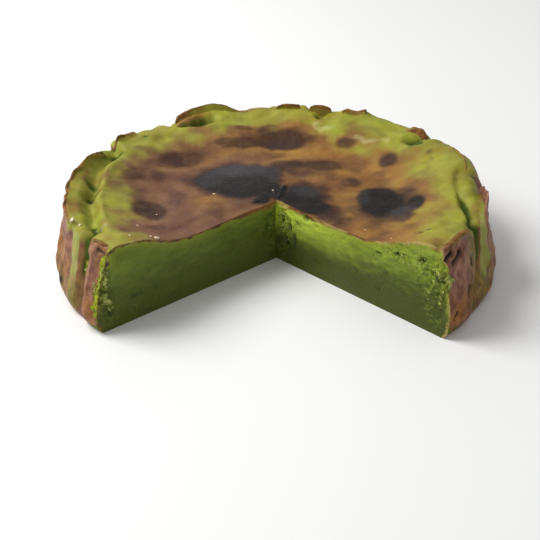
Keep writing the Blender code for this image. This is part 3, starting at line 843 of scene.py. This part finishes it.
def makeMatchaCurd():
    look, finish = curdLook, curdFinish
    material, tree, shader, place = newMaterial("matchaCurd")
    cutPlace = mask(tree, "cutPlace", "Vector")
    out, high, side = put(tree, "SeparateXYZ", Vector=cutPlace).outputs
    dragged = mapped(cutPlace, Scale=(0.45, 1, 1))
    broad, fine = mottled(dragged, 10)
    smearBroad, smearFine = mottled(dragged, 3.5)
    facetBroad, facetFine = mottled(cutPlace, 4.2)
    grain, pores = grained(place, 0.9, 0.7)
    depth, rough = mask(tree, "cutDepth"), mask(tree, "rough")
    wavering = plus(depth, times(smearFine, -0.6))

    def toRight(start, end):  # one amount on the left cut, another on the right one
        return ramp(side, 0, 200, start, end)

    def toLeft(start, end):
        return ramp(side, -200, 0, start, end)

    # The left cut is painted in shade, and both cuts are painted darker towards the base as a shadow
    shade = times(ramp(plus(high, times(fine, 6)), 14, 36, 1, 0), toLeft(0.72, 0.96))
    near = times(ramp(wavering, 0.4, 4.5, 0.6, 0), ramp(high, 4, 20))
    # A pool of light is painted on the right cut by the apex
    glow = times(ramp(out, 10, 60, 1, 0), ramp(high, 10, 26), toRight(0, 1), 0.9)
    colour = layered(mixed(broad, look["fresh"], look["pale"]), (times(smearBroad, 0.35), look["deep"]),
                     (toLeft(0.62, 0), look["shaded"]), (shade, look["foot"]), (near, look["underSkin"]),
                     (glow, look["bright"]))
    # The skin's edge is brown over the toasted middle, burnt in spots by the apex, and pale under the rim
    pale = times(toRight(0, 0.9), ramp(smearBroad, 0, 0.45))
    burnt = times(ramp(out, 8, 30, 0.15, 0.9), fine, toRight(1, 0.35))
    crust = layered(mixed(ramp(out, 50, 72), look["crust"], look["crustRim"]), (pale, look["crustPale"]),
                    (burnt, look["crustDark"]))
    width = plus(ramp(fine, 0, 1, 0.5, 1.8), ramp(out, 6, 40, 1.2, 0))
    edge = maths("DIVIDE", wavering, times(width, finish["crustWidth"]))
    light = times(rough, ramp(facetBroad, 0.2, 1, 0, 0.45), ramp(facetFine, 0.4, 0.9))
    # Dark flecks in the crumbled zones, and the pores and tears, are painted dark as shade in them
    dark = times(rough, ramp(facetFine, 0.28, 0.02, 0, 0.7))
    holes = most(times(pores, ramp(smearBroad, 0.3, 0.9, 0.2, 1)), times(mask(tree, "tear"), 0.9))
    hollow = mixed(ramp(depth, 0.6, 4), look["crustDark"], look["pore"])
    colour = layered(colour, (ramp(edge, 0.4, 1.4, 1, 0), crust), (light, look["fleck"]),
                     (dark, look["pore"]), (holes, hollow))
    fill(shader, Base_Color=colour, Roughness=ramp(smearFine, 0, 1, 0.5, 0.66),
         Normal=bumped(grain, finish["grainDepth"], 0.8), Specular_IOR_Level=finish["specular"],
         Subsurface_Weight=finish["subsurface"], Subsurface_Radius=finish["subsurfaceRadius"],
         Subsurface_Scale=finish["subsurfaceDepth"] / perMetre)
    return material


baseLook = palette(brown=(120, 82, 52), ochre=(146, 116, 52), dark=(84, 58, 40))


def makePaperedBase():
    material, _, shader, place = newMaterial("paperedBase")
    broad, fine = mottled(place, 24)
    colour = mixed(times(fine, 0.5), mixed(broad, baseLook["brown"], baseLook["ochre"]), baseLook["dark"])
    fill(shader, Base_Color=colour, Roughness=ramp(fine, 0, 1, 0.5, 0.65),
         Normal=bumped(grained(place, 3, 0.5)[0], 0.2))
    return material


crumbLook = palette(light=(180, 186, 92), deep=(118, 132, 52))


def makeCurdCrumb():
    material, _, shader, place = newMaterial("curdCrumb")
    broad, fine = mottled(place, 4)
    fill(shader, Base_Color=mixed(broad, crumbLook["light"], crumbLook["deep"]),
         Roughness=ramp(fine, 0, 1, 0.55, 0.75), Normal=bumped(grained(place, 0.9, 0.4)[0], 0.2))
    return material


butterLook = palette(clear=(196, 170, 120), milky=(214, 200, 170))


def makeButter():
    material, _, shader, place = newMaterial("butter")
    broad, fine = mottled(place, 2)
    fill(shader, Base_Color=mixed(broad, butterLook["clear"], butterLook["milky"]),
         Roughness=ramp(fine, 0, 1, 0.12, 0.2), Coat_Weight=1)
    return material


# Thin flaps of skin that stand off the rim where the paper was folded. A path of azimuths and distances
# past the rim's corner, heights at even steps along it, the way it points at the root and at the edge (0
# outward, 90 up, 180 inward), thickness, how ragged its edge is, and what share of its height is browned at
# even steps. Where it has a level, its heights are measured from there, and not from the skin.
crustFlaps = {
    "leftLip": {"path": ((156.5, -6.8), (165, -3.6), (179, -0.6), (192, 0.2), (199, 0.2)),
        "heights": (0.2, 1.1, 1.3, 1.1, 1.2, 0.8, 0.1), "points": (75, 100), "thick": 1.3, "ragged": 0.12,
        "brown": (0.35, 0.35, 0.3, 0.45, 0.8)},
    "leftBackLip": {"path": ((139, -3), (146, -5), (151, -5.4)), "heights": (0.4, 1.2, 0.4),
        "points": (70, 105), "thick": 1.2, "ragged": 0.08, "brown": (0.6, 0.8, 0.6)},
    "backCurl": {"path": ((101.5, -3.6), (108, -4.2), (116, -4.2), (123.6, -3.2)),
        "heights": (0.3, 2.2, 3.1, 3.4, 3.3, 3, 2.8), "points": (60, 84), "thick": 1.6, "ragged": 0.03,
        "brown": (0.3, 0.35, 0.35, 0.5, 1), "toasted": (0.1, 0.2, 0.3, 0.5, 0.9)},
    "backFlake": {"path": ((81.5, -5.2), (89.5, -5.2)), "heights": (2, 2.6, 2.6, 2.4, 1.4),
        "points": (80, 105), "thick": 1.1, "ragged": 0.05, "brown": (0.6, 0.7, 0.6)},
    "smallFlap": {"path": ((71, -4.8), (78.5, -5)), "heights": (1, 2.2, 2.7, 2.5, 2.2, 0.9), "level": 36.8,
        "points": (75, 95), "thick": 1.2, "ragged": 0.02, "brown": (0.6, 0.5, 0.5)},
    "hornedFlake": {"path": ((59, -5), (67.2, -5.4)), "heights": (2.2, 1.8, 1.6, 1.8, 2.3, 1.6),
        "points": (62, 80), "thick": 1.2, "ragged": 0.04, "brown": (0.7, 0.55, 0.7), "toasted": (0.5, 0.5)},
    "redCorner": {"path": ((34.5, -5.2), (43, -6.2)), "heights": (2.6, 3.2, 2.6, 1.2, 0.3),
        "points": (70, 95), "thick": 1.6, "ragged": 0.05, "brown": (0.9, 0.9, 0.6), "toasted": (1, 0.6)},
    "rightFin": {"path": ((-1.2, 3.8), (-4, 3.2), (-10, 2.2), (-14.5, 2), (-18, 4.4), (-19.5, 9)),
        "heights": (1.4, 5.4, 4.9, 4.5, 4.2, 3.8, 3.3, 2.7, 2, 1.4, 0.8, 0.2), "points": (80, 90),
        "thick": 1.2, "ragged": 0.04, "tint": "plum", "brown": (0.2, 0.1, 0.1, 0.1, 0.3),
        "toasted": (1, 0.5)},
    "rightPanelLip": {"path": ((-28.6, -2.2), (-35, -2.4), (-42, -2)), "heights": (2, 2.2, 2, 1.8, 0.8),
        "points": (60, -30), "thick": 1.5, "ragged": 0.14, "brown": (1.3, 1.3, 1.3)},
    "leftPanelLip": {"path": ((214.2, -2), (221.2, -2.8)), "heights": (1, 1.6, 1.4, 0.4),
        "points": (60, -10), "thick": 1.2, "ragged": 0.15, "brown": (1.2, 1.2, 1.2)},
    "farLip": {"path": ((8, -3.2), (16, -3.2), (24, -3.8)), "heights": (0.3, 0.8, 1.3, 1, 0.4),
        "points": (75, 110), "thick": 1.1, "ragged": 0.15, "brown": (0, 0.25, 0)},
}
everyFlap = {"stations": 96, "steps": 10, "sink": 1.2, "toasted": (0.4, 0.4)}


def makeFlap(name, flap):
    # Across the flap a thin rounded section, whose middle line leaves the skin at the root's angle and
    # bends to the edge's. It is carried along the path, taller or lower by the heights.
    stations, steps, sink, usual = everyFlap.values()
    u, v = np.linspace(0, 1, stations), np.linspace(0, 1, steps)
    azimuth, along = (evenly(u, amounts) for amounts in zip(*flap["path"]))
    root, _ = skinPoint(azimuth, along)
    radial, up = np.pad(compass(azimuth), ((0, 0), (0, 1)))[:, None], np.array([0, 0, 1.0])
    ends = smooth(u / 0.05) * smooth((1 - u) / 0.05)
    height = sum(evenly(u + shift, flap["heights"]) for shift in (-0.03, 0, 0.03)) / 3
    if "level" in flap:
        height = height + flap["level"] + floorZ - root[:, 2]
    height = height * (0.5 + 0.5 * ends) * (1 + flap["ragged"] * softNoise("flapEdge", root))
    start, end = flap["points"]
    angle = np.radians(start + (end - start) * v ** 1.2)
    turning = (angle[1:] + angle[:-1]) / 2
    out, rise = (np.concatenate([[0], np.cumsum(part)])[:, None] / (steps - 1)
                 for part in (np.cos(turning), np.sin(turning)))
    middle = root[:, None] - sink * (math.cos(angle[0]) * radial + math.sin(angle[0]) * up)
    middle = middle + (height + sink)[:, None, None] * (out * radial + rise * up)
    middle = middle + v[:, None] * softNoise("flapWaver", root)[:, None, None] * radial
    half = (flap["thick"] / 2 * np.sqrt(1 - 0.9 * v ** 4))[:, None] * (0.35 + 0.65 * ends)[:, None, None]
    across = half * (np.sin(angle)[:, None] * radial - np.cos(angle)[:, None] * up)
    points = np.concatenate([middle + across, (middle - across)[:, ::-1]], axis=1).reshape(-1, 3)
    count = 2 * steps
    a = np.arange((stations - 1) * count).reshape(-1, count)
    b = np.roll(a, -1, axis=1)
    faces = np.stack([a, b, b + count, a + count], axis=-1).reshape(-1, 4).tolist()
    faces += [list(range(count))[::-1], list(range(a.size, a.size + count))]
    if azimuth[-1] > azimuth[0]:
        faces = [face[::-1] for face in faces]
    reach = np.tile(np.concatenate([v, v[::-1]]), stations)
    outside = np.tile(np.arange(count) < steps, stations)
    brown, toasted = (np.repeat(evenly(u, amounts), count)
                      for amounts in (flap["brown"], flap.get("toasted", usual)))
    zeros = np.zeros(len(reach))
    attributes = dict.fromkeys(skinMasks, zeros) | {
        "crest": smooth((reach - 1 + brown) / 0.4), "panel": 1.0 * (outside | ("tint" in flap)),
        # The inner side darkens towards the root as painted shade
        "groove": smooth(0.5 - reach) * ~outside * 0.3, "toast": toasted, "ochre": zeros + 0.8,
        "unrolled": np.stack([np.repeat(np.radians(azimuth) * cakeShape["radius"], count),
                              np.repeat(along, count) - reach * 3, reach * 3], axis=-1)}
    if "tint" in flap:
        attributes[flap["tint"]] = zeros + 0.9
    piece = makePiece(name, points, faces, [bakedSkin], attributes)
    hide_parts("cheesecake")


def makeBall(rings, meridians):
    # A ball of rings and meridians about the origin, radius 1
    polar = np.linspace(0, math.pi, rings + 1)[1:-1, None]
    turn = np.linspace(0, 2 * math.pi, meridians, endpoint=False)
    x, y, z = np.sin(polar) * np.cos(turn), np.sin(polar) * np.sin(turn), np.cos(polar) + 0 * turn
    ball = np.concatenate([[[0, 0, 1]], np.stack([x, y, z], axis=-1).reshape(-1, 3), [[0, 0, -1]]])
    ring = 1 + np.arange(meridians)
    after, last, end = np.roll(ring, -1), (rings - 2) * meridians, len(ball) - 1
    faces = np.stack([ring * 0, ring, after], axis=1).tolist()
    for start in range(0, last, meridians):
        faces += (start + np.stack([ring, ring + meridians, after + meridians, after], axis=1)).tolist()
    return ball, faces + np.stack([ring * 0 + end, last + after, last + ring], axis=1).tolist()


def makeBalls(name, ball, faces, points, material):
    # One piece of as many balls as the points make
    points = points.reshape(-1, 3)
    starts = range(0, len(points), len(ball))
    faces = [[start + corner for corner in face] for start in starts for face in faces]
    return makePiece(name, points, faces, [material], {})


# Crumbs of curd that the knife dragged out, in clusters: on the right cut (1), the left one (-1) or the
# skin (0); distance from the apex and height, or azimuth and distance past the rim's corner, of the
# cluster's middle; half spreads of these; how many; and the crumbs' radii
crumbClusters = [
    (-1, 92.5, 28, 1, 2, 8, (0.4, 0.9)), (-1, 91.8, 22.5, 1, 2.4, 9, (0.5, 1.1)),
    (-1, 93, 15.5, 1.6, 2.4, 13, (0.5, 1.2)), (-1, 90.5, 11, 1.2, 1.8, 8, (0.4, 1)),
    (1, 94.5, 25.8, 0.8, 1.6, 7, (0.6, 1.3)), (1, 90, 26, 3.4, 3, 26, (0.3, 0.7)),
    (1, 81, 30.5, 2.6, 2, 12, (0.3, 0.6)), (1, 72, 29, 7, 3, 12, (0.2, 0.5)),
    (1, 89, 17, 4, 5, 12, (0.3, 0.6)), (1, 5, 19, 3, 7, 16, (0.3, 0.7)),
    (0, 212.9, 13, 0.5, 1.8, 7, (0.4, 0.9)), (0, 212.8, 17.5, 0.5, 1.6, 6, (0.4, 0.8)),
    (0, 220.6, 19, 0.6, 7, 9, (0.3, 0.6)), (0, -43, 12, 0.5, 2.4, 5, (0.3, 0.7)),
]


def makeCrumbs(sheets):
    # Each crumb is a ball pushed in and out by noise, of its own size and stretch, sunk a little into the
    # surface
    ball, faces = makeBall(6, 9)
    draw = np.random.default_rng(5)
    blocks = []
    for side, first, second, spreadFirst, spreadSecond, many, radii in crumbClusters:
        size = draw.uniform(*radii, many)
        first = first + spreadFirst * draw.uniform(-1, 1, many)
        second = second + spreadSecond * draw.uniform(-1, 1, many)
        if side:
            sheet, place, outward = sheets[side]
            nearest = np.hypot(place[:, 0] - first[:, None], place[:, 1] - second[:, None]).argmin(axis=1)
            centre = sheet[nearest]
        else:
            centre, outward = skinPoint(first, second)
        centre = (centre + outward * (size * draw.uniform(-0.2, 0.35, many))[:, None])[:, None]
        shaped = ball * draw.uniform(0.6, 1.3, (many, 1, 3))
        shaped = shaped * (1 + softNoise("crumbLumps", ball * 10 + centre * 7))[..., None]
        blocks.append((centre + size[:, None, None] * shaped).reshape(-1, 3))
    piece = makeBalls("curdCrumbs", ball, faces, np.concatenate(blocks), curdCrumb)


# Beads of butter: azimuth, distance from the axis as a share of the radius, own radius
butterBeads = [
    (168, 0.285, 0.7), (220, 0.798, 0.6), (222.2, 0.68, 1.3), (220.6, 0.696, 0.7), (201.8, 0.936, 1.3),
    (203.6, 0.928, 0.8), (208.5, 0.679, 0.5), (95, 0.07, 0.5), (-41.5, 0.66, 0.4), (-38, 0.5, 0.4),
    (196, 0.55, 0.4),
]


def makeBeads():
    # Flattened balls that lie on the skin
    ball, faces = makeBall(8, 14)
    azimuth, share, size = np.array(butterBeads).T
    along = np.interp(share * cakeShape["radius"], profileColumns[0], profileLength)
    centre, normal = skinPoint(azimuth, along)
    flattened = ball - 0.55 * (ball @ normal[..., None]) * normal[:, None]
    piece = makeBalls("butterBeads", ball, faces, centre[:, None] + size[:, None, None] * flattened, butter)


bakedSkin = makeBakedSkin()
matchaCurd = makeMatchaCurd()
paperedBase = makePaperedBase()
curdCrumb = makeCurdCrumb()
butter = makeButter()
cutSheets = makeBody()
for flapName, flap in crustFlaps.items():
    makeFlap(flapName, flap)
print("flaps made")
makeCrumbs(cutSheets)
makeBeads()
print("crumbs and beads made")

# Camera and light
lighting = {"world": 0.42, "window": 9.5, "back": 1.0}
camera = bpy.data.objects.new("camera", bpy.data.cameras.new("camera"))
bpy.context.scene.collection.objects.link(camera)
camera.location = (axisX / perMetre, axisY / perMetre - 0.4964, floorZ / perMetre + 0.2802)
camera.rotation_euler = Vector((-0.00344, 0.86570, -0.50055)).to_track_quat("-Z", "Y").to_euler()
camera.data.lens = 83.9
bpy.context.scene.camera = camera
world = bpy.data.worlds.new("studio")
bpy.context.scene.world = world
world.use_nodes = True
fill(world.node_tree.nodes["Background"].inputs, Color=(1, 1, 1, 1), Strength=lighting["world"])


def softLight(name, place, size, power, aim=(0, 0, 0.02)):
    light = bpy.data.objects.new(name, bpy.data.lights.new(name, "AREA"))
    bpy.context.scene.collection.objects.link(light)
    light.data.energy = power
    light.data.size = size
    light.location = place
    light.rotation_euler = (Vector(aim) - light.location).to_track_quat("-Z", "Y").to_euler()


softLight("window", (-0.62, 0.10, 0.78), 0.6, lighting["window"])
softLight("backWindow", (-0.35, 0.9, 0.55), 0.7, lighting["back"])
bpy.ops.mesh.primitive_plane_add(size=6, location=(0, 0, floorZ / perMetre))
floor = bpy.context.object
floor.name = "floor"
floorPaint = bpy.data.materials.new("floor")
floorPaint.use_nodes = True
fill(floorPaint.node_tree.nodes["Principled BSDF"].inputs, Base_Color=(0.93, 0.93, 0.92, 1))
floor.data.materials.append(floorPaint)
bpy.context.scene.view_settings.view_transform = "Standard"
